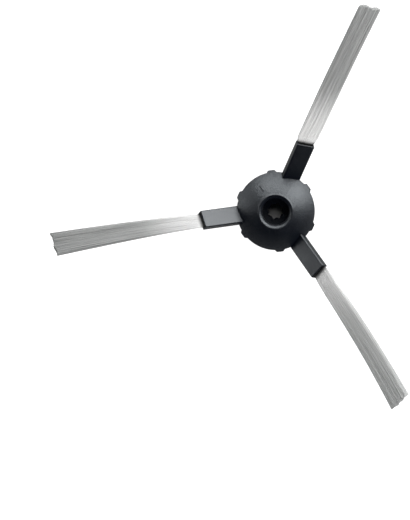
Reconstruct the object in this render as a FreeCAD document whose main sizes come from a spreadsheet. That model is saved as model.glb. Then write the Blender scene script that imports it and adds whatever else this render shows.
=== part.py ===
import FreeCAD, Part
import math
import os
import Sketcher

from FreeCAD import Vector

# Robot vacuum side brush: a moulded hub with three soft arms, each holding one bristle tuft.
# Frame: origin on the hub's axis at its robot-side face, +Z out of the domed floor side, arm 1 along +X.
# All lengths are millimetres and all angles are degrees.

doc = FreeCAD.newDocument("side_brush")
sizes = doc.addObject("Spreadsheet::Sheet", "sizes")

SIZES = [
    ("hub_radius", 15.0, "outside of the hub's side wall"),
    ("hub_wall", 1.4, "side wall of the hub shell"),
    ("rim_height", 5.6, "robot-side face to the foot of the dome"),
    ("rim_bevel", 0.3, "bevelled edge between the side wall and the dome"),
    ("dome_curve", 30.0, "radius of the dome's flank in section"),
    ("crown_wall", 1.6, "thickness of the dome beside the well, measured upright"),
    ("lip_height", 11.4, "robot-side face to the top of the well's lip"),
    ("lip_width", 1.4, "rounded lip of the well, crest to well"),
    ("lip_depth", 1.55, "how far that lip rolls down into the well"),
    ("lip_curve", 1.95, "radius of the lip in section"),
    ("lip_rise", 0.25, "bevelled step from the dome up to the lip"),
    ("well_radius", 5.1, "screw well, inside"),
    ("well_wall", 1.3, "wall of the well and of the boss below it"),
    ("well_floor", 5.4, "robot-side face to the floor of the well"),
    ("star_radius", 3.3, "drive star, axis to a corner"),
    ("star_angle", 7.1, "turn of the star's first corner from arm 1"),
    ("pilot_radius", 4.6, "round recess for the shaft's collar"),
    ("pilot_depth", 1.2, "depth of that recess"),
    ("lug_count", 6, "grip lugs around the side wall"),
    ("lug_angle", 30.0, "first lug, turned from arm 1"),
    ("lug_rise", 0.8, "lug, proud of the side wall"),
    ("crest_angle", 9.0, "angle that a lug's crest covers"),
    ("flank_angle", 3.0, "angle that each flank of a lug covers"),
    ("lug_foot", 0.8, "robot-side face to the foot of a lug"),
    ("tick_angle", 54.1, "index tick on the dome, turned from arm 1"),
    ("tick_reach", 10.4, "axis to the middle of the tick"),
    ("tick_length", 2.9, "length of the tick along the dome"),
    ("tick_width", 0.8, "width of the tick at the dome"),
    ("tick_rise", 0.28, "ridge of the tick, proud of the dome"),
    ("fit_gap", 0.1, "clearance where one piece sits in another"),
    ("base_thickness", 1.0, "plate of the base ring"),
    ("collar_height", 2.6, "collar of the base ring around the boss"),
    ("collar_wall", 1.0, "wall of that collar"),
    ("seat_width", 4.8, "seat block under each tongue, across the arm"),
    ("seat_setback", 1.4, "seat block, its outer end inward of the sleeve's root"),
    ("seat_height", 1.9, "seat block, top above the robot-side face"),
    ("slope_angle", 32.3, "rise of the arms above the hub's plane"),
    ("roll_angle", 23.7, "roll of each arm about its own line"),
    ("root_depth", 3.0, "sleeve's root, inward of the hub's side wall"),
    ("root_gap", 0.18, "sleeve's lowest corner above the base plate"),
    ("sleeve_length", 19.0, "soft sleeve, root to mouth"),
    ("sleeve_width", 7.03, "soft sleeve, across"),
    ("sleeve_depth", 2.92, "soft sleeve, front to back"),
    ("sleeve_wall", 0.6, "wall of the sleeve"),
    ("sleeve_corner", 0.5, "outer corner radius of the sleeve"),
    ("mouth_bevel", 0.2, "bevelled edge of the sleeve's mouth"),
    ("tongue_grip", 8.0, "tongue, length inside the sleeve"),
    ("tail_gap", 0.5, "tongue's inner end outside the collar, at its middle"),
    ("tuft_gap", 0.3, "gap between the tongue's end and the tuft's root"),
    ("tuft_length", 60.5, "bristles of each arm, mouth to tips"),
    ("tuft_sway_1", -1.3, "sideways bend of tuft 1 at its tips"),
    ("tuft_sway_2", 1.4, "sideways bend of tuft 2"),
    ("tuft_sway_3", -3.4, "sideways bend of tuft 3"),
    ("tuft_droop", 2.6, "sag of the tips below the arm's own line"),
    ("flare_length", 2.5, "stretch past the mouth where the bristles spring open"),
    ("flare_width", 6.4, "tuft after that stretch, across"),
    ("flare_depth", 2.5, "tuft after that stretch, front to back"),
    ("tip_width", 8.9, "tuft at its tips, across"),
    ("tip_depth", 3.5, "tuft at its tips, front to back"),
    ("rib_count", 12, "ridges of bristles on each face of a tuft"),
    ("rib_depth", 0.28, "depth of the furrows between them"),
    ("slit_width", 0.34, "opening between two locks of bristles at the tips"),
    ("tip_ragged", 1.3, "how much the locks differ in length"),
]

for row, (name, value, note) in enumerate(SIZES, start=1):
    sizes.set(f"A{row}", note)
    sizes.set(f"B{row}", str(value))
    sizes.setAlias(f"B{row}", name)
doc.recompute()


def size(name):
    """The value of one cell of the sheet."""
    return float(getattr(sizes, name))


def plane_of(body, role):
    return next(item for item in body.Origin.OriginFeatures if item.Role == role)


def new_sketch(body, name, role):
    """An empty sketch on one of the body's own origin planes."""
    sketch = body.newObject("Sketcher::SketchObject", name)
    sketch.AttachmentSupport = [(plane_of(body, role), "")]
    sketch.MapMode = "FlatFace"
    return sketch


def pin_point(sketch, geometry, end, along, up):
    """Tie one end of a line or arc to the sheet, by its distances from the sketch's origin."""
    for kind, axis, text in (("DistanceX", -2, along), ("DistanceY", -1, up)):
        if text == "0":
            sketch.addConstraint(Sketcher.Constraint("PointOnObject", geometry, end, axis))
            continue
        value = float(sketch.evalExpression(text))
        place = sketch.addConstraint(Sketcher.Constraint(kind, -1, 1, geometry, end, value))
        sketch.setExpression(f"Constraints[{place}]", text)


def arc_between(start, end, radius, side):
    """An arc from start to end that bulges to the left (side 1) or right (side -1) of the way."""
    chord = end - start
    left = Vector(-chord.y, chord.x, 0).normalize()
    middle = (start + end) * 0.5
    rise = radius - math.sqrt(radius ** 2 - (chord.Length / 2) ** 2)
    return Part.Arc(start, middle + left * (side * rise), end)


def draw_outline(sketch, corners, arcs=None):
    """A closed outline through corners given as expressions; arcs maps an edge to (radius, side)."""
    arcs = arcs or {}
    points = [Vector(*(float(sketch.evalExpression(text)) for text in corner), 0) for corner in corners]
    ends = []
    for index, start in enumerate(points):
        end = points[(index + 1) % len(points)]
        if index in arcs:
            radius_text, side = arcs[index]
            radius = float(sketch.evalExpression(radius_text))
            geometry = sketch.addGeometry(arc_between(start, end, radius, side))
            place = sketch.addConstraint(Sketcher.Constraint("Radius", geometry, radius))
            sketch.setExpression(f"Constraints[{place}]", radius_text)
        else:
            geometry = sketch.addGeometry(Part.LineSegment(start, end))
        from_start = sketch.getPoint(geometry, 1).distanceToPoint(start) < 1e-6
        ends.append((geometry, 1, 2) if from_start else (geometry, 2, 1))
    for index, (geometry, first, last) in enumerate(ends):
        following, entry, _ = ends[(index + 1) % len(ends)]
        sketch.addConstraint(Sketcher.Constraint("Coincident", geometry, last, following, entry))
        pin_point(sketch, geometry, first, *corners[index])


def rounded_box_outline(sketch, width, depth, corner):
    """A rectangle with rounded corners, centred on the sketch's origin."""
    across, up = f"({width}) / 2", f"({depth}) / 2"
    corners = [
        (f"{across} - {corner}", f"-({up})"),
        (across, f"-({up}) + {corner}"),
        (across, f"{up} - {corner}"),
        (f"{across} - {corner}", up),
        (f"-({across}) + {corner}", up),
        (f"-({across})", f"{up} - {corner}"),
        (f"-({across})", f"-({up}) + {corner}"),
        (f"-({across}) + {corner}", f"-({up})"),
    ]
    draw_outline(sketch, corners, {index: (corner, -1) for index in (0, 2, 4, 6)})


def revolve(body, name, sketch):
    feature = body.newObject("PartDesign::Revolution", name)
    feature.Profile = sketch
    feature.ReferenceAxis = (sketch, ["V_Axis"])
    feature.Angle = 360
    return feature


def polar_pattern(body, name, feature, count):
    pattern = body.newObject("PartDesign::PolarPattern", name)
    pattern.Originals = [feature]
    pattern.Axis = (plane_of(body, "Z_Axis"), [""])
    pattern.Angle = 360
    pattern.setExpression("Occurrences", count)
    body.Tip = pattern
    return pattern


def spot(x, y, z, yaw="0", pitch="0", roll="0"):
    """Text of a placement: a point, then turns about Z, Y and X."""
    point = f"create(<<vector>>; {x}; {y}; {z})"
    return f"create(<<placement>>; {point}; create(<<rotation>>; {yaw}; {pitch}; {roll}))"


def turned(angle):
    return spot("0", "0", "0", yaw=angle)


def arm_turn(arm):
    return f"{arm} * 360 / {ARM_COUNT}"


def arm_frame(arm):
    """Middle of a sleeve's root: X runs out along the arm, Z towards the arm's front face."""
    root = spot(ROOT_REACH, "0", ROOT_RISE, pitch="-sizes.slope_angle", roll="sizes.roll_angle")
    return f"{turned(arm_turn(arm))} * {root}"


def box(name, length, width, height, frame):
    """A box centred across its frame's X, standing at the placement that frame describes."""
    piece = doc.addObject("Part::Box", name)
    piece.setExpression("Length", length)
    piece.setExpression("Width", width)
    piece.setExpression("Height", height)
    middle = spot("0", f"-({width}) / 2", "0")
    piece.setExpression("Placement", f"{frame} * {middle}")
    return piece


def arm_bar(name, arm, start, length, width, depth):
    """A rectangular bar centred on an arm's line, from start along the line."""
    corner = spot(start, "0", f"-({depth}) / 2")
    return box(name, length, width, depth, f"{arm_frame(arm)} * {corner}")


def join(kind, name, label, first, others):
    """A fuse or cut of the first object with all the others."""
    tool = others[0]
    if len(others) > 1:
        tool = doc.addObject("Part::MultiFuse", f"{name}_tools")
        tool.Shapes = others
    result = doc.addObject(kind, name)
    result.Base = first
    result.Tool = tool
    result.Label = label
    return result


ARM_COUNT = 3
ARMS = range(ARM_COUNT)

# Radii, heights and sections that several pieces share.
BOSS = "(sizes.well_radius + sizes.well_wall)"
SIDE_INSIDE = "(sizes.hub_radius - sizes.hub_wall)"
LIP_OUTSIDE = "(sizes.well_radius + sizes.lip_width)"
DOME_TOP = "(sizes.lip_height - sizes.lip_rise)"
DOME_INSIDE = f"({LIP_OUTSIDE} + sizes.lip_rise)"
DOME_OUTSIDE = "(sizes.hub_radius - sizes.rim_bevel)"
BASE_INSIDE = f"({BOSS} + sizes.fit_gap)"
BORE_WIDTH = "(sizes.sleeve_width - 2 * sizes.sleeve_wall)"
BORE_DEPTH = "(sizes.sleeve_depth - 2 * sizes.sleeve_wall)"

# The middle of a sleeve's root: as deep in the hub as named, with its lowest corner over the base plate.
ROOT_REACH = "(sizes.hub_radius - sizes.root_depth)"
ROOT_DROP = (
    "((sizes.sleeve_width * sin(sizes.roll_angle) + sizes.sleeve_depth * cos(sizes.roll_angle))"
    " / 2 * cos(sizes.slope_angle))"
)
ROOT_RISE = f"(sizes.base_thickness + sizes.root_gap + {ROOT_DROP})"


def make_hub_shell():
    """The black moulding: side wall, dome, rounded lip, screw well, drive star and grip lugs."""
    body = doc.addObject("PartDesign::Body", "hub_moulding")
    section = new_sketch(body, "hub_section", "XZ_Plane")
    draw_outline(
        section,
        [
            ("0", "sizes.pilot_depth"),
            ("sizes.pilot_radius", "sizes.pilot_depth"),
            ("sizes.pilot_radius", "0"),
            (BOSS, "0"),
            (BOSS, f"{DOME_TOP} - sizes.crown_wall"),
            (SIDE_INSIDE, "sizes.rim_height - sizes.hub_wall / 2"),
            (SIDE_INSIDE, "0"),
            ("sizes.hub_radius", "0"),
            ("sizes.hub_radius", "sizes.rim_height - sizes.rim_bevel"),
            (DOME_OUTSIDE, "sizes.rim_height"),
            (DOME_INSIDE, DOME_TOP),
            (LIP_OUTSIDE, "sizes.lip_height"),
            ("sizes.well_radius", "sizes.lip_height - sizes.lip_depth"),
            ("sizes.well_radius", "sizes.well_floor"),
            ("0", "sizes.well_floor"),
        ],
        {
            9: ("sizes.dome_curve", -1),
            11: ("sizes.lip_curve", -1),
        },
    )
    revolve(body, "hub_turned", section)

    star = new_sketch(body, "star_outline", "XY_Plane")
    star.setExpression("AttachmentOffset.Base.z", "sizes.well_floor")
    star.setExpression("AttachmentOffset.Rotation.Yaw", "sizes.star_angle")
    doc.recompute()
    # Two squares laid over each other, an eighth of a turn apart, make the eight corners.
    corner_step = 45
    notch = "sizes.star_radius * cos(45) / cos(22.5)"
    corners = []
    for index in range(8):
        turn = index * corner_step
        for radius, angle in (("sizes.star_radius", turn), (notch, turn + corner_step / 2)):
            corners.append((f"{radius} * cos({angle})", f"{radius} * sin({angle})"))
    draw_outline(star, corners)
    socket = body.newObject("PartDesign::Pocket", "star_socket")
    socket.Profile = star
    socket.Type = "ThroughAll"

    lug = new_sketch(body, "lug_outline", "XY_Plane")
    lug.setExpression("AttachmentOffset.Base.z", "sizes.lug_foot")
    lug.setExpression("AttachmentOffset.Rotation.Yaw", "sizes.lug_angle")
    doc.recompute()
    side_top = "(sizes.rim_height - sizes.rim_bevel)"
    crest = "(sizes.hub_radius + sizes.lug_rise)"
    buried = "(sizes.hub_radius - sizes.hub_wall / 2)"
    crest_turn = "(sizes.crest_angle / 2)"
    foot_turn = "(sizes.crest_angle / 2 + sizes.flank_angle)"
    draw_outline(
        lug,
        [
            (f"{buried} * cos({foot_turn})", f"-{buried} * sin({foot_turn})"),
            (f"sizes.hub_radius * cos({foot_turn})", f"-sizes.hub_radius * sin({foot_turn})"),
            (f"{crest} * cos({crest_turn})", f"-{crest} * sin({crest_turn})"),
            (f"{crest} * cos({crest_turn})", f"{crest} * sin({crest_turn})"),
            (f"sizes.hub_radius * cos({foot_turn})", f"sizes.hub_radius * sin({foot_turn})"),
            (f"{buried} * cos({foot_turn})", f"{buried} * sin({foot_turn})"),
        ],
        {2: (crest, -1)},
    )
    rib = body.newObject("PartDesign::Pad", "lug")
    rib.Profile = lug
    rib.setExpression("Length", f"{side_top} - sizes.lug_foot")
    doc.recompute()
    polar_pattern(body, "lugs", rib, "sizes.lug_count")
    doc.recompute()

    # The tops of the lugs fall away outward and carry on the bevel of the rim.
    slope = new_sketch(body, "lug_slope", "XZ_Plane")
    beyond = "(sizes.hub_radius + 2 * sizes.lug_rise)"
    draw_outline(
        slope,
        [
            ("sizes.hub_radius", side_top),
            (beyond, f"{side_top} - 2 * sizes.lug_rise"),
            (beyond, "sizes.rim_height"),
        ],
    )
    trim = body.newObject("PartDesign::Groove", "lug_tops")
    trim.Profile = slope
    trim.ReferenceAxis = (slope, ["V_Axis"])
    trim.Angle = 360
    doc.recompute()

    windows = [
        arm_bar(
            f"window_{arm + 1}",
            arm,
            "-sizes.fit_gap",
            "sizes.sleeve_length",
            "sizes.sleeve_width + 2 * sizes.fit_gap",
            "sizes.sleeve_depth + 2 * sizes.fit_gap",
        )
        for arm in ARMS
    ]
    opened = join("Part::Cut", "hub_opened", "hub_opened", body, windows)

    # A plain raised tick, a small roof in section, lies along the dome's flank between two arms.
    fall = f"(({DOME_TOP} - sizes.rim_height) / ({DOME_OUTSIDE} - {DOME_INSIDE}))"
    flank = f"({DOME_TOP} - (sizes.tick_reach - {DOME_INSIDE}) * {fall})"
    ends = f"(sizes.tick_reach - {DOME_INSIDE}) * ({DOME_OUTSIDE} - sizes.tick_reach)"
    bulge = f"({ends} / (2 * sizes.dome_curve * cos(atan({fall})) ^ 3))"
    tick = doc.addObject("Part::Wedge", "tick_ridge")
    tick.setExpression("Xmin", "-sizes.tick_width")
    tick.setExpression("Xmax", "sizes.tick_width")
    tick.setExpression("X2min", "0")
    tick.setExpression("X2max", "0")
    tick.setExpression("Ymin", "0")
    tick.setExpression("Ymax", "2 * sizes.tick_rise")
    tick.setExpression("Zmin", "-sizes.tick_length / 2")
    tick.setExpression("Zmax", "sizes.tick_length / 2")
    tick.setExpression("Z2min", "-sizes.tick_length / 2")
    tick.setExpression("Z2max", "sizes.tick_length / 2")
    along_flank = spot("sizes.tick_reach", "0", f"{flank} + {bulge}", pitch=f"atan({fall})")
    sunk = spot("0", "0", "-sizes.tick_rise", yaw="90", roll="90")
    tick.setExpression("Placement", f"{turned('sizes.tick_angle')} * {along_flank} * {sunk}")
    return join("Part::Fuse", "hub_marked", "hub_shell", opened, [tick])


def make_hub_base():
    """The robot-side ring that closes the hub, with a tongue for each sleeve."""
    body = doc.addObject("PartDesign::Body", "base_ring")
    section = new_sketch(body, "base_section", "XZ_Plane")
    outside = f"({SIDE_INSIDE} - sizes.fit_gap)"
    draw_outline(
        section,
        [
            (BASE_INSIDE, "0"),
            (outside, "0"),
            (outside, "sizes.base_thickness"),
            (f"{BASE_INSIDE} + sizes.collar_wall", "sizes.base_thickness"),
            (f"{BASE_INSIDE} + sizes.collar_wall", "sizes.collar_height"),
            (BASE_INSIDE, "sizes.collar_height"),
        ],
    )
    revolve(body, "base_turned", section)

    tail = f"(({ROOT_REACH} - {BASE_INSIDE} - sizes.collar_wall - sizes.tail_gap) / cos(sizes.slope_angle))"
    near = f"({BASE_INSIDE} + sizes.collar_wall / 2)"
    bars = []
    for arm in ARMS:
        bars.append(
            arm_bar(
                f"tongue_{arm + 1}",
                arm,
                f"-{tail}",
                f"{tail} + sizes.tongue_grip",
                f"{BORE_WIDTH} - 2 * sizes.fit_gap",
                f"{BORE_DEPTH} - 2 * sizes.fit_gap",
            )
        )
        bars.append(
            box(
                f"seat_{arm + 1}",
                f"{ROOT_REACH} - sizes.seat_setback - {near}",
                "sizes.seat_width",
                "sizes.seat_height",
                f"{turned(arm_turn(arm))} * {spot(near, '0', '0')}",
            )
        )
    ring = join("Part::Fuse", "base_with_tongues", "base_with_tongues", body, bars)

    # The tongues' tails run into the plate and are flush with its face.
    trim = doc.addObject("Part::Cylinder", "base_trim")
    trim.setExpression("Radius", "sizes.hub_radius")
    trim.setExpression("Height", "sizes.hub_radius")
    trim.setExpression("Placement.Base.z", "-sizes.hub_radius")
    return join("Part::Cut", "base_flush", "hub_base", ring, [trim])


def make_sleeve(arm):
    """A soft rectangular tube with rounded corners and an open mouth."""
    body = doc.addObject("PartDesign::Body", f"sleeve_body_{arm + 1}")
    outline = new_sketch(body, f"sleeve_outline_{arm + 1}", "YZ_Plane")
    rounded_box_outline(outline, "sizes.sleeve_width", "sizes.sleeve_depth", "sizes.sleeve_corner")
    rounded_box_outline(
        outline,
        BORE_WIDTH,
        BORE_DEPTH,
        "(sizes.sleeve_corner / 2)",
    )
    tube = body.newObject("PartDesign::Pad", f"sleeve_tube_{arm + 1}")
    tube.Profile = outline
    tube.setExpression("Length", "sizes.sleeve_length")
    doc.recompute()

    mouth_edges = []
    half_width = size("sleeve_width") / 2
    half_depth = size("sleeve_depth") / 2
    for index, edge in enumerate(tube.Shape.Edges, start=1):
        bounds = edge.BoundBox
        outermost = max(bounds.YMax, -bounds.YMin) > half_width - size("sleeve_wall") / 2
        outermost = outermost or max(bounds.ZMax, -bounds.ZMin) > half_depth - size("sleeve_wall") / 2
        if outermost and bounds.XMin > size("sleeve_length") - 1e-6:
            mouth_edges.append(f"Edge{index}")
    bevel = body.newObject("PartDesign::Chamfer", f"sleeve_mouth_{arm + 1}")
    bevel.Base = (tube, mouth_edges)
    bevel.setExpression("Size", "min(sizes.mouth_bevel; sizes.sleeve_wall / 2)")
    body.setExpression("Placement", arm_frame(arm))
    body.Label = f"arm_sleeve_{arm + 1}"
    return body


def tuft_section(place, length, sway):
    """Width, depth, middle and furrow depth of a tuft, at a distance along the arm from the root."""
    past_mouth = place - size("sleeve_length")
    if past_mouth <= 0:
        width = size("sleeve_width") - 2 * size("sleeve_wall") - 2 * size("fit_gap")
        depth = size("sleeve_depth") - 2 * size("sleeve_wall") - 2 * size("fit_gap")
        return width, depth, Vector(place, 0, 0), 0.0
    share = (past_mouth - size("flare_length")) / (length - size("flare_length"))
    width = size("flare_width") + (size("tip_width") - size("flare_width")) * share
    depth = size("flare_depth") + (size("tip_depth") - size("flare_depth")) * share
    # The bend is sideways and downwards in the part's frame, and the section is rolled with the arm.
    bend = (past_mouth / length) ** 2
    roll = math.radians(size("roll_angle"))
    sideways = sway * bend
    down = size("tuft_droop") * bend
    across = sideways * math.cos(roll) - down * math.sin(roll)
    up = -sideways * math.sin(roll) - down * math.cos(roll)
    return width, depth, Vector(place, across, up), size("rib_depth")


def tuft_wire(place, length, sway):
    """The ribbed outline of a tuft, flattened like its sleeve and rounded at both edges."""
    width, depth, middle, furrow = tuft_section(place, length, sway)
    steps = 2 * int(size("rib_count"))
    fullness = 3
    front, back = [], []
    for step in range(1, steps):
        share = 2 * step / steps - 1
        height = depth / 2 * (1 - abs(share) ** fullness) ** (1 / fullness)
        if step % 2 == 0:
            height -= min(furrow, height / 2)
        front.append(middle + Vector(0, share * width / 2, height))
        back.append(middle + Vector(0, share * width / 2, -height))
    left = middle - Vector(0, width / 2, 0)
    right = middle + Vector(0, width / 2, 0)
    return Part.makePolygon([left] + front + [right] + back[::-1] + [left])


def slit_wedge(share, fork, tip, length, sway):
    """A thin wedge that parts two locks of bristles, from its apex at the fork to past the tips."""
    ends = []
    for place in (fork, tip):
        width, _, middle, _ = tuft_section(place, length, sway)
        ends.append(middle + Vector(0, share * width / 2, 0))
    apex, end = ends
    beyond = end + (end - apex).normalize() * size("tip_ragged")
    spread = Vector(0, size("slit_width") / 2, 0)
    below = Vector(0, 0, -size("tip_width"))
    triangle = Part.makePolygon([point + below for point in (apex, beyond - spread, beyond + spread, apex)])
    return Part.Face(triangle).extrude(-2 * below)


def ragged_end(arm, tip, length, sway):
    """What is cut off the tips, so that they end in a slightly uneven line."""
    width, _, middle, _ = tuft_section(tip, length, sway)
    locks = int(size("rib_count")) // 2 + 1
    margin = size("tip_ragged")
    below = Vector(0, 0, -size("tip_width"))
    line = []
    for index in range(locks + 1):
        across = middle.y + (index / locks - 0.5) * (width + 2 * margin)
        # The remainders run through an order that looks uneven and differs from arm to arm.
        trim = margin * ((3 * index + 2 * arm) % 5) / 4
        line.append(Vector(tip - trim, across, middle.z) + below)
    outward = Vector(size("tip_width"), 0, 0)
    outline = Part.makePolygon(line + [line[-1] + outward, line[0] + outward, line[0]])
    return Part.Face(outline).extrude(-2 * below)


def make_tuft(arm):
    """One bristle tuft: a fused root in the sleeve, a ribbed fan, and locks that part at the tips."""
    length = size("tuft_length")
    sway = size(f"tuft_sway_{arm + 1}")
    mouth = size("sleeve_length")
    root = size("tongue_grip") + size("tuft_gap")
    fork, tip = mouth + length * 2 / 3, mouth + length
    stations = [root, mouth, mouth + size("flare_length"), mouth + length / 3, fork, tip]
    shape = Part.makeLoft([tuft_wire(place, length, sway) for place in stations], True, True)

    # Slits open between the locks over the last third of the length, in every second furrow.
    ribs = int(size("rib_count"))
    cutters = [slit_wedge(furrow / ribs - 1, fork, tip, length, sway) for furrow in range(2, 2 * ribs, 4)]
    cutters.append(ragged_end(arm, tip, length, sway))

    tuft = doc.addObject("Part::Feature", f"tuft_shape_{arm + 1}")
    tuft.Shape = shape.cut(cutters)
    tuft.setExpression("Placement", arm_frame(arm))
    tuft.Label = f"bristle_tuft_{arm + 1}"
    return tuft


nodes = [make_hub_shell(), make_hub_base()]
nodes += [make_sleeve(arm) for arm in ARMS]
nodes += [make_tuft(arm) for arm in ARMS]
doc.recompute()

for item in doc.Objects:
    if "Invalid" in item.State or "Error" in item.State:
        raise RuntimeError(f"{item.Label} did not build: {item.State}")
for node in nodes:
    if node.Shape.isNull() or not node.Shape.isValid() or not node.Shape.Solids:
        raise RuntimeError(f"{node.Label} has no valid solid")

os.makedirs("parts", exist_ok=True)
for node in nodes:
    node.Shape.exportStep(f"parts/{node.Label}.step")
    print(f"{node.Label}: {len(node.Shape.Solids)} solid, {node.Shape.Volume:.2f} mm3")
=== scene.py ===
import math
import random

import bmesh
import bpy
from mathutils import Matrix, Vector


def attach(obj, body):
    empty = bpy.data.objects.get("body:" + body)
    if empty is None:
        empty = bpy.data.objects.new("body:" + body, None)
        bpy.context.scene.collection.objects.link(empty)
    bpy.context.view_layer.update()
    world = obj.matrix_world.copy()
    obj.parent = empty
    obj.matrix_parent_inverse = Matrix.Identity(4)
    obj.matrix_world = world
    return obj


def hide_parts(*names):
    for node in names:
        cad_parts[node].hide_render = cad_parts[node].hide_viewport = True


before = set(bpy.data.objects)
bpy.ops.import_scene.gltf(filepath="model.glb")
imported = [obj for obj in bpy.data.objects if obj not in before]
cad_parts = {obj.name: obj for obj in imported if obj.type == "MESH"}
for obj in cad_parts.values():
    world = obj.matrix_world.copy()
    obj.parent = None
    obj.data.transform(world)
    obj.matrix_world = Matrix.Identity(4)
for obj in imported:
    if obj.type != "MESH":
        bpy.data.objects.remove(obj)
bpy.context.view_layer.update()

mm = 0.001
scene = bpy.context.scene
scene.view_settings.view_transform = "Standard"
print("packed nodes:", ", ".join(sorted(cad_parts)))


# The view of the photograph, fitted to the hub's rim and the sleeves.
cameraView = {
    "place": (21.35, 4.11, 499.53),  # millimetres, in the part's own frame
    "aim": (-28.74, 17.56, 0.0),
    "upTurn": 23.44,                 # the picture's upright, turned from arm 1
    "lens": 88.97,
    "sensor": 36.0,
    "nearLimit": 0.01,               # metres
}


def placeCamera(view):
    camera = bpy.data.objects.new("photoCamera", bpy.data.cameras.new("photoCamera"))
    scene.collection.objects.link(camera)
    place = Vector(view["place"]) * mm
    back = (place - Vector(view["aim"]) * mm).normalized()
    upTurn = math.radians(view["upTurn"])
    right = Vector((math.cos(upTurn), math.sin(upTurn), 0)).cross(back).normalized()
    turn = Matrix((right, back.cross(right), back)).transposed().to_4x4()
    camera.matrix_world = Matrix.Translation(place) @ turn
    camera.data.sensor_width = view["sensor"]
    camera.data.lens = view["lens"]
    camera.data.clip_start = view["nearLimit"]
    scene.camera = camera


placeCamera(cameraView)
print("camera placed")


# Shader nodes and finishes that several pieces share.
grainLook = {"fineDetail": 3, "flowDetail": 4, "flowRoughness": 0.55}
flowRange = {"tone": (0.35, 0.68), "roughness": (0.3, 0.7)}
edgeRepair = {"weld": 0.01, "flatAngle": 0.3, "weight": 60}  # millimetres, degrees, per cent


def addNode(tree, kind, label="", **values):
    node = tree.nodes.new(kind)
    node.label = label
    for name, value in values.items():
        setattr(node, name, value)
    return node


def setRange(node, side, values):
    node.inputs[side + " Min"].default_value = values[0]
    node.inputs[side + " Max"].default_value = values[1]


def newMaterial(name):
    material = bpy.data.materials.new(name)
    material.use_nodes = True
    tree = material.node_tree
    return material, tree, tree.nodes["Principled BSDF"]


def buildMouldGrain(look):
    # Spark-eroded grain of a mould: a fine height, and a broad slow mask of the melt's flow.
    group = bpy.data.node_groups.new("mouldGrain", "ShaderNodeTree")
    for name in ("Grain Scale", "Flow Scale"):
        group.interface.new_socket(name, in_out="INPUT", socket_type="NodeSocketFloat")
    for name in ("Height", "Flow"):
        group.interface.new_socket(name, in_out="OUTPUT", socket_type="NodeSocketFloat")
    inputs = addNode(group, "NodeGroupInput")
    outputs = addNode(group, "NodeGroupOutput")
    place = addNode(group, "ShaderNodeTexCoord")
    fine = addNode(group, "ShaderNodeTexNoise", "fine grain")
    fine.inputs["Detail"].default_value = look["fineDetail"]
    pits = addNode(group, "ShaderNodeTexVoronoi", "pits", feature="SMOOTH_F1")
    flow = addNode(group, "ShaderNodeTexNoise", "flow of the melt")
    flow.inputs["Detail"].default_value = look["flowDetail"]
    flow.inputs["Roughness"].default_value = look["flowRoughness"]
    mix = addNode(group, "ShaderNodeMath", "grain and pits", operation="ADD")
    link = group.links.new
    for texture, scale in ((fine, "Grain Scale"), (pits, "Grain Scale"), (flow, "Flow Scale")):
        link(place.outputs["Object"], texture.inputs["Vector"])
        link(inputs.outputs[scale], texture.inputs["Scale"])
    link(fine.outputs["Fac"], mix.inputs[0])
    link(pits.outputs["Distance"], mix.inputs[1])
    link(mix.outputs[0], outputs.inputs["Height"])
    link(flow.outputs["Fac"], outputs.inputs["Flow"])
    return group


mouldGrain = buildMouldGrain(grainLook)


def mouldedMaterial(name, look):
    # Moulded plastic or rubber: two near tones, an uneven satin finish and the mould's grain.
    material, tree, surface = newMaterial(name)
    grain = addNode(tree, "ShaderNodeGroup", "grain", node_tree=mouldGrain)
    grain.inputs["Grain Scale"].default_value = look["grainScale"]
    grain.inputs["Flow Scale"].default_value = look["flowScale"]
    tone = addNode(tree, "ShaderNodeValToRGB", "tone")
    stops = zip(tone.color_ramp.elements, flowRange["tone"], ("dark", "light"))
    for stop, position, colour in stops:
        stop.position = position
        stop.color = (*look[colour], 1)
    finish = addNode(tree, "ShaderNodeMapRange", "roughness")
    setRange(finish, "From", flowRange["roughness"])
    setRange(finish, "To", look["roughness"])
    bump = addNode(tree, "ShaderNodeBump", "grain height")
    bump.inputs["Strength"].default_value = look["bump"]
    bump.inputs["Distance"].default_value = look["bumpDepth"] * mm
    link = tree.links.new
    link(grain.outputs["Flow"], tone.inputs["Fac"])
    link(tone.outputs["Color"], surface.inputs["Base Color"])
    link(grain.outputs["Flow"], finish.inputs["Value"])
    link(finish.outputs["Result"], surface.inputs["Roughness"])
    link(grain.outputs["Height"], bump.inputs["Height"])
    link(bump.outputs["Normal"], surface.inputs["Normal"])
    surface.inputs["Specular IOR Level"].default_value = look["specular"]
    surface.inputs["Specular Tint"].default_value = (*look["glare"], 1)
    return material


def dress(node, material):
    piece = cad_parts[node]
    for slot in piece.material_slots:
        slot.material = material
    return piece


def softenEdges(piece, edges):
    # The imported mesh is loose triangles, so it is joined up and its flats are merged
    # before its edges are rounded.
    weld = piece.modifiers.new("joinedUp", "WELD")
    weld.merge_threshold = edgeRepair["weld"] * mm
    flat = piece.modifiers.new("mergedFlats", "DECIMATE")
    flat.decimate_type = "DISSOLVE"
    flat.angle_limit = math.radians(edgeRepair["flatAngle"])
    bevel = piece.modifiers.new("roundedEdges", "BEVEL")
    bevel.width = edges["width"] * mm
    bevel.segments = edges["segments"]
    bevel.limit_method = "ANGLE"
    bevel.angle_limit = math.radians(edges["angle"])
    bevel.use_clamp_overlap = True
    bevel.harden_normals = False
    even = piece.modifiers.new("evenShading", "WEIGHTED_NORMAL")
    even.keep_sharp = True
    even.weight = edgeRepair["weight"]


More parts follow.
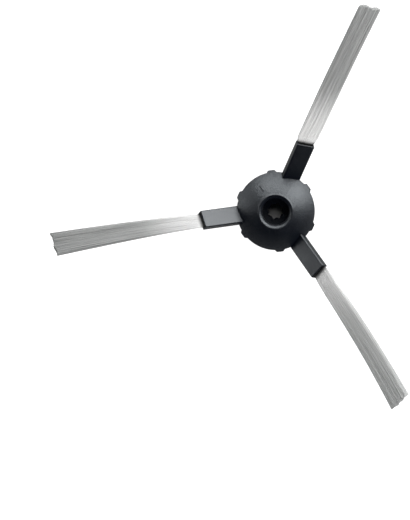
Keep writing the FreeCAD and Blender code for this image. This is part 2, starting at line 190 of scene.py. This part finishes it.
# The hub: satin black plastic with a fine moulded grain.
hub = {
    "dark": (0.0016, 0.0024, 0.0048),
    "light": (0.0026, 0.0036, 0.0068),
    "roughness": (0.40, 0.46),
    "specular": 1.0,
    "glare": (0.90, 0.96, 1.0),
    "grainScale": 2300.0,
    "flowScale": 330.0,
    "bump": 0.6,
    "bumpDepth": 0.12,
    "edges": {"width": 0.1, "segments": 2, "angle": 28},
}
hubPlastic = mouldedMaterial("hubPlastic", hub)
softenEdges(dress("hub_shell", hubPlastic), hub["edges"])
print("hub finished")


# The base ring on the robot side: plain matt black.
baseRing = {
    "dark": (0.010, 0.010, 0.011),
    "light": (0.017, 0.017, 0.018),
    "roughness": (0.42, 0.5),
    "specular": 0.5,
    "glare": (1.0, 1.0, 1.0),
    "grainScale": 4200.0,
    "flowScale": 160.0,
    "bump": 0.25,
    "bumpDepth": 0.03,
}
dress("hub_base", mouldedMaterial("basePlastic", baseRing))
print("base ring finished")


# The soft sleeves: near-black rubber, a little glossier than the hub.
sleeve = {
    "dark": (0.0014, 0.0022, 0.0045),
    "light": (0.0024, 0.0034, 0.0064),
    "roughness": (0.30, 0.36),
    "specular": 0.85,
    "glare": (0.93, 0.97, 1.0),
    "grainScale": 2300.0,
    "flowScale": 330.0,
    "bump": 0.25,
    "bumpDepth": 0.05,
    "edges": {"width": 0.09, "segments": 2, "angle": 28},
}
sleeveRubber = mouldedMaterial("sleeveRubber", sleeve)
for arm in (1, 2, 3):
    softenEdges(dress(f"arm_sleeve_{arm}", sleeveRubber), sleeve["edges"])
print("sleeves finished")


# The bristle tufts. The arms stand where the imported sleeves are, and lengths are millimetres.
armShape = {
    "count": 3,
    "rootReach": 12.0,      # the sleeve's root, out from the axis and up
    "rootRise": 3.504,
    "slope": 32.3,          # degrees
    "roll": 23.7,
    "sleeveLength": 19.0,
}
tuft = {
    "filaments": 820,
    "thickness": 0.16,
    "stations": 9,          # points of each filament, closer together at its root
    "crowding": 1.25,
    "squareness": 3,        # 2 is an oval bundle, and more is squarer
    "rootDepth": 2.2,       # how far the filaments are followed back into the sleeve
    "boreWidth": 5.5,
    "boreDepth": 0.6,
    "boreSetback": 0.47,    # the bundle lies towards the sleeve's rear wall
    "flareLength": 2.5,
    "swellLength": 9.0,     # the bundle thickens more slowly than it widens
    "droop": 2.6,
    "lockCount": 7,         # locks differ in length and a little in tone
    "strandCount": 48,      # strands differ in tone
    "toneShares": (0.2, 0.45, 0.35),  # of the lock, the strand and the filament in its own tone
    "lockTrim": (-0.1, 0.75),
    "ownTrim": 0.2,
    "tipSlant": 0.9,        # the rear filaments end sooner, so the tips are cut upright
    "rootTone": (0.86, 0.12, 0.18),   # middle of each tuft's filament tones beside the sleeve, painted light: each arm's tone is set to how that arm is lit
    "tipTone": (0.41, 0.11, 0.41),    # and at the tips, painted light set per arm in the same way
    "toneSpread": (1.0, 0.2, 0.6),    # how far they differ beside the sleeve
    "tipCalm": 0.4,         # share of that spread left at the tips
    "evenSteps": (0.7548776662, 0.5698402910),  # steps of an even scatter over the bundle
    "scatter": (0.015, 0.03),
    "stray": 0.03,
    "wave": 0.035,          # largest sideways wave, as a share of half the width
    "waveTurns": 5,
    "length": 60.5,
    "sway": (-1.3, 1.4, -3.4),
    "flareWidth": (8.1, 5.7, 6.8),
    "flareDepth": 2.4,
    "tipWidth": (7.7, 9.0, 8.75),
    "tipDepth": 3.3,
    "seed": (11, 23, 37),
}


def armFrame(arm):
    # The middle of the sleeve's mouth: X runs out along the arm, Z to its front face.
    return (
        Matrix.Rotation(math.radians(arm * 360 / armShape["count"]), 4, "Z")
        @ Matrix.Translation(Vector((armShape["rootReach"], 0, armShape["rootRise"])) * mm)
        @ Matrix.Rotation(math.radians(-armShape["slope"]), 4, "Y")
        @ Matrix.Rotation(math.radians(armShape["roll"]), 4, "X")
        @ Matrix.Translation((armShape["sleeveLength"] * mm, 0, 0))
    )


def blendOver(start, end, share):
    share = max(0.0, min(1.0, share))
    return start + (end - start) * share


def bundleSection(arm, distance):
    # Width, depth and middle of the bundle at a distance past the mouth.
    length = tuft["length"]
    swelling = distance / tuft["swellLength"]
    width = blendOver(tuft["boreWidth"], tuft["flareWidth"][arm], distance / tuft["flareLength"])
    depth = blendOver(tuft["boreDepth"], tuft["flareDepth"], swelling)
    spread = (distance - tuft["flareLength"]) / (length - tuft["flareLength"])
    width += blendOver(0, tuft["tipWidth"][arm] - tuft["flareWidth"][arm], spread)
    depth += blendOver(0, tuft["tipDepth"] - tuft["flareDepth"], spread)
    bend = max(0.0, distance / length) ** 2
    roll = math.radians(armShape["roll"])
    sideways = tuft["sway"][arm] * bend
    down = tuft["droop"] * bend
    across = sideways * math.cos(roll) - down * math.sin(roll)
    up = -sideways * math.sin(roll) - down * math.cos(roll)
    up -= blendOver(tuft["boreSetback"], 0, swelling)
    return width, depth, across, up


def spreadOut(count, dice):
    # Places spread evenly in a rounded section, both ways from -1 to 1.
    places = []
    step = dice.randrange(1000)
    while len(places) < count:
        step += 1
        across, up = (
            2 * (step * evenStep % 1) - 1 + dice.gauss(0, scatter)
            for evenStep, scatter in zip(tuft["evenSteps"], tuft["scatter"])
        )
        if overFull(across, up) <= 1:
            places.append((across, up))
    return places


def overFull(across, up):
    # 1 on the outline of the bundle's section, and more outside it.
    power = tuft["squareness"]
    return (abs(across) ** power + abs(up) ** power) ** (1 / power)


def layFilament(spline, arm, place, ends, wave, cut):
    # One filament, from inside the sleeve out to its own cut end.
    (rootAcross, rootUp), (tipAcross, tipUp) = ends
    waveSize, wavePhase = wave
    spline.points.add(tuft["stations"] - 1)
    for index, point in enumerate(spline.points):
        share = index / (tuft["stations"] - 1)
        distance = -tuft["rootDepth"] + (cut + tuft["rootDepth"]) * share ** tuft["crowding"]
        width, depth, acrossBend, upBend = bundleSection(arm, distance)
        along = max(0.0, distance / tuft["length"])
        ripple = waveSize * math.sin(wavePhase + along * tuft["waveTurns"]) * along
        across = rootAcross + (tipAcross - rootAcross) * along + ripple
        up = rootUp + (tipUp - rootUp) * along
        spot = Vector((
            distance,
            max(-1, min(1, across)) * (width - tuft["thickness"]) / 2 + acrossBend,
            max(-1, min(1, up)) * (depth - tuft["thickness"]) / 2 + upBend,
        ))
        point.co = (*(place @ (spot * mm)), 1)


def growTuft(arm):
    dice = random.Random(tuft["seed"][arm])
    lockTone = [dice.uniform(0, 1) for _ in range(tuft["lockCount"])]
    strandTone = [dice.uniform(0, 1) for _ in range(tuft["strandCount"])]
    lockTrim = [dice.uniform(*tuft["lockTrim"]) for _ in range(tuft["lockCount"] + 1)]
    curve = bpy.data.curves.new("filaments", "CURVE")
    curve.dimensions = "3D"
    curve.bevel_depth = tuft["thickness"] / 2 * mm
    curve.bevel_resolution = 1
    curve.use_fill_caps = True
    place = armFrame(arm)
    tones = []
    for rootAcross, rootUp in spreadOut(tuft["filaments"], dice):
        tipAcross = rootAcross + dice.gauss(0, tuft["stray"])
        tipUp = rootUp + dice.gauss(0, tuft["stray"] * 2)
        limit = max(1.0, overFull(tipAcross, tipUp))
        tipAcross, tipUp = tipAcross / limit, tipUp / limit
        wave = dice.uniform(0, tuft["wave"]), dice.uniform(0, math.tau)
        side = max(0, min(0.999, (rootAcross + 1) / 2))  # from one edge, 0, to just under 1
        lock, past = divmod(side * tuft["lockCount"], 1)
        lock, strand = int(lock), int(side * tuft["strandCount"])
        trim = blendOver(lockTrim[lock], lockTrim[lock + 1], past)
        trim += dice.uniform(0, tuft["ownTrim"])
        cut = tuft["length"] - trim - tuft["tipSlant"] * (1 - tipUp) / 2
        ends = (rootAcross, rootUp), (tipAcross, tipUp)
        layFilament(curve.splines.new("POLY"), arm, place, ends, wave, cut)
        drawn = (lockTone[lock], strandTone[strand], dice.random())
        own = sum(part * tone for part, tone in zip(tuft["toneShares"], drawn)) - 0.5
        own *= 2 * tuft["toneSpread"][arm]
        # Painted light: each arm's root and tip tones are set by how that arm is lit, with the
        # root brighter than the tips.
        tones.append((tuft["rootTone"][arm] + own, tuft["tipTone"][arm] + own * tuft["tipCalm"]))
    mesh = meshOfCurve(curve)
    keepTones(mesh, tones, place.inverted())
    mesh.polygons.foreach_set("use_smooth", [True] * len(mesh.polygons))
    mesh.name = f"tuftFilaments{arm + 1}"
    piece = bpy.data.objects.new(mesh.name, mesh)
    scene.collection.objects.link(piece)
    return piece


def meshOfCurve(curve):
    draft = bpy.data.objects.new("filaments", curve)
    scene.collection.objects.link(draft)
    bpy.context.view_layer.update()
    graph = bpy.context.evaluated_depsgraph_get()
    mesh = bpy.data.meshes.new_from_object(draft.evaluated_get(graph))
    bpy.data.objects.remove(draft)
    bpy.data.curves.remove(curve)
    return mesh


def keepTones(mesh, tones, backToArm):
    # The material reads each filament's two tones and the way along the tuft.
    each = len(mesh.vertices) // len(tones)
    pairs = [tones[min(index // each, len(tones) - 1)] for index in range(len(mesh.vertices))]
    reach = [(backToArm @ vertex.co).x / mm / tuft["length"] for vertex in mesh.vertices]
    readings = {
        "rootTone": [pair[0] for pair in pairs],
        "tipTone": [pair[1] for pair in pairs],
        "along": [max(0.0, share) for share in reach],
    }
    for name, values in readings.items():
        mesh.attributes.new(name, "FLOAT", "POINT").data.foreach_set("value", values)


# Drawn nylon, pale grey, with painted light: brighter beside the sleeve and darker towards the
# tips.
nylon = {
    "rootLight": (0.96, 0.96, 0.95),
    "rootDark": (0.50, 0.50, 0.50),
    "tipLight": (0.75, 0.76, 0.755),
    "tipDark": (0.22, 0.225, 0.222),
    "fade": (0.1, 0.5),            # shares of the tuft's length, over which the painted light fades
    "mouthShadeSpan": (0.019, 0.033),   # painted shade: darker inside the sleeve and just past its mouth
    "mouthShadeTone": 0.06,
    "roughness": (0.38, 0.52),
}


def bristleMaterial(name, look):
    # Each filament has its own tone, which fades to another one towards the tips; this fade from a
    # bright root to darker tips is painted light and shade.
    material, tree, surface = newMaterial(name)
    alongRead = addNode(tree, "ShaderNodeAttribute", "way along", attribute_name="along")
    fade = addNode(tree, "ShaderNodeMapRange", "fade to the tips", interpolation_type="SMOOTHSTEP")
    setRange(fade, "From", look["fade"])
    link = tree.links.new
    link(alongRead.outputs["Fac"], fade.inputs["Value"])
    ends = []
    for place in ("root", "tip"):
        toneName = place + "Tone"
        toneRead = addNode(tree, "ShaderNodeAttribute", toneName, attribute_name=toneName)
        mix = addNode(tree, "ShaderNodeMix", place, data_type="RGBA")
        mix.inputs[6].default_value = (*look[place + "Dark"], 1)
        mix.inputs[7].default_value = (*look[place + "Light"], 1)
        link(toneRead.outputs["Fac"], mix.inputs["Factor"])
        ends.append(mix)
    whole = addNode(tree, "ShaderNodeMix", "root to tip", data_type="RGBA")
    link(fade.outputs["Result"], whole.inputs["Factor"])
    link(ends[0].outputs[2], whole.inputs[6])
    link(ends[1].outputs[2], whole.inputs[7])
    # Painted shade: the filaments inside the sleeve and just past its mouth are darkened, where
    # the sleeve shades them.
    mouth = addNode(tree, "ShaderNodeValToRGB", "painted mouth shade")
    for stop, position in zip(mouth.color_ramp.elements, look["mouthShadeSpan"]):
        stop.position = position
    mouth.color_ramp.elements[0].color = (*[look["mouthShadeTone"]] * 3, 1)
    shaded = addNode(
        tree, "ShaderNodeMix", "root in shade", data_type="RGBA", blend_type="MULTIPLY"
    )
    shaded.inputs["Factor"].default_value = 1.0
    link(alongRead.outputs["Fac"], mouth.inputs["Fac"])
    link(whole.outputs[2], shaded.inputs[6])
    link(mouth.outputs["Color"], shaded.inputs[7])
    link(shaded.outputs[2], surface.inputs["Base Color"])
    finish = addNode(tree, "ShaderNodeMapRange", "roughness")
    setRange(finish, "To", look["roughness"])
    link(toneRead.outputs["Fac"], finish.inputs["Value"])  # the tone at the tips
    link(finish.outputs["Result"], surface.inputs["Roughness"])
    return material


bristleNylon = bristleMaterial("bristleNylon", nylon)
for arm in range(armShape["count"]):
    piece = growTuft(arm)
    piece.data.materials.append(bristleNylon)
    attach(piece, "root")
    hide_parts(f"bristle_tuft_{arm + 1}")
print("tufts grown")


# Plain paper, which the camera sees lifted to white.
floor = {
    "size": 2400.0,
    "drop": 0.3,
    "cells": 8,
    "paper": 0.34,
    "roughness": 0.9,
    "specular": 0.1,
    "lift": 0.92,
    "underHub": (8.0, 12.0),       # no lift under the hub, where the star shows the paper
    "nearBrush": (600.0, 1100.0),  # nor near the brush for mirrored rays
}


def paperMaterial(settings):
    material, tree, surface = newMaterial("floorPaper")
    surface.inputs["Base Color"].default_value = (*[settings["paper"]] * 3, 1)
    surface.inputs["Roughness"].default_value = settings["roughness"]
    surface.inputs["Specular IOR Level"].default_value = settings["specular"]
    surface.inputs["Emission Color"].default_value = (1, 1, 1, 1)
    path = addNode(tree, "ShaderNodeLightPath")
    lift = addNode(tree, "ShaderNodeMath", "lift", operation="MULTIPLY")
    lift.inputs[1].default_value = settings["lift"]
    link = tree.links.new
    place = addNode(tree, "ShaderNodeTexCoord")
    reach = addNode(tree, "ShaderNodeVectorMath", "distance from the axis", operation="LENGTH")
    link(place.outputs["Object"], reach.inputs[0])
    raysOf = {
        "underHub": ("Is Camera Ray", "Is Transmission Ray"),
        "nearBrush": ("Is Glossy Ray",),
    }
    masked = []
    for clear, rays in raysOf.items():
        edge = addNode(tree, "ShaderNodeMapRange", "clear of " + clear)
        setRange(edge, "From", [edgeAt * mm for edgeAt in settings[clear]])
        link(reach.outputs["Value"], edge.inputs["Value"])
        either = addNode(tree, "ShaderNodeMath", "rays", operation="MAXIMUM")
        either.inputs[1].default_value = 0.0
        for index, ray in enumerate(rays):
            link(path.outputs[ray], either.inputs[index])
        part = addNode(tree, "ShaderNodeMath", "lift for them", operation="MULTIPLY")
        link(either.outputs[0], part.inputs[0])
        link(edge.outputs["Result"], part.inputs[1])
        masked.append(part)
    seen = addNode(tree, "ShaderNodeMath", "seen or mirrored", operation="MAXIMUM")
    link(masked[0].outputs[0], seen.inputs[0])
    link(masked[1].outputs[0], seen.inputs[1])
    link(seen.outputs[0], lift.inputs[0])
    link(lift.outputs[0], surface.inputs["Emission Strength"])
    return material


def layFloor(settings):
    cells, halfSide = settings["cells"], settings["size"] / 2 * mm
    shape = bmesh.new()
    bmesh.ops.create_grid(shape, x_segments=cells, y_segments=cells, size=halfSide)
    bmesh.ops.translate(shape, verts=shape.verts, vec=(0, 0, -settings["drop"] * mm))
    mesh = bpy.data.meshes.new("floorPaper")
    shape.to_mesh(mesh)
    shape.free()
    mesh.materials.append(paperMaterial(settings))
    piece = bpy.data.objects.new("floorPaper", mesh)
    scene.collection.objects.link(piece)


layFloor(floor)
print("floor laid")


# Soft panels around the brush: degrees, millimetres and plain radiance.
lamps = {
    "keyPanel": {"turn": -18, "rise": 24, "size": (760, 400), "radiance": 5.9, "glare": True},
    "fillPanel": {"turn": 42, "rise": 24, "size": (380, 320), "radiance": 5.0, "glare": True},
    "sidePanel": {"turn": 98, "rise": 8, "size": (250, 120), "radiance": 4.6, "glare": True},
    # Polarised fills light the nylon and leave no glare on the black plastic.
    "backFill": {"turn": 219, "rise": 38, "size": (700, 250), "radiance": 6.0, "glare": False},
    "highFill": {"turn": 8, "rise": 60, "size": (250, 250), "radiance": 4.2, "glare": False},
}
lampDistance = 600
# The camera sees white past the paper's edge, and the object gets only the faint room light.
roomLight = {"colour": (1.0, 1.0, 1.0), "faint": 0.01, "seen": 1.0}


def hangLamp(name, settings):
    data = bpy.data.lights.new(name, "AREA")
    data.shape = "RECTANGLE"
    data.size, data.size_y = (side * mm for side in settings["size"])
    data.energy = settings["radiance"] * math.pi * data.size * data.size_y
    turn, rise = math.radians(settings["turn"]), math.radians(settings["rise"])
    level = math.cos(rise)
    way = Vector((math.cos(turn) * level, math.sin(turn) * level, math.sin(rise)))
    lamp = bpy.data.objects.new(name, data)
    lamp.location = way * lampDistance * mm
    lamp.visible_glossy = settings["glare"]
    lamp.rotation_euler = (-way).to_track_quat("-Z", "Y").to_euler()
    scene.collection.objects.link(lamp)


def lightRoom(settings):
    world = bpy.data.worlds.new("room")
    world.use_nodes = True
    tree = world.node_tree
    air = tree.nodes["Background"]
    air.inputs["Color"].default_value = (*settings["colour"], 1)
    path = addNode(tree, "ShaderNodeLightPath")
    strength = addNode(tree, "ShaderNodeMapRange", "white for the camera")
    setRange(strength, "To", (settings["faint"], settings["seen"]))
    tree.links.new(path.outputs["Is Camera Ray"], strength.inputs["Value"])
    tree.links.new(strength.outputs["Result"], air.inputs["Strength"])
    scene.world = world


for name, settings in lamps.items():
    hangLamp(name, settings)
lightRoom(roomLight)
print("lamps hung")
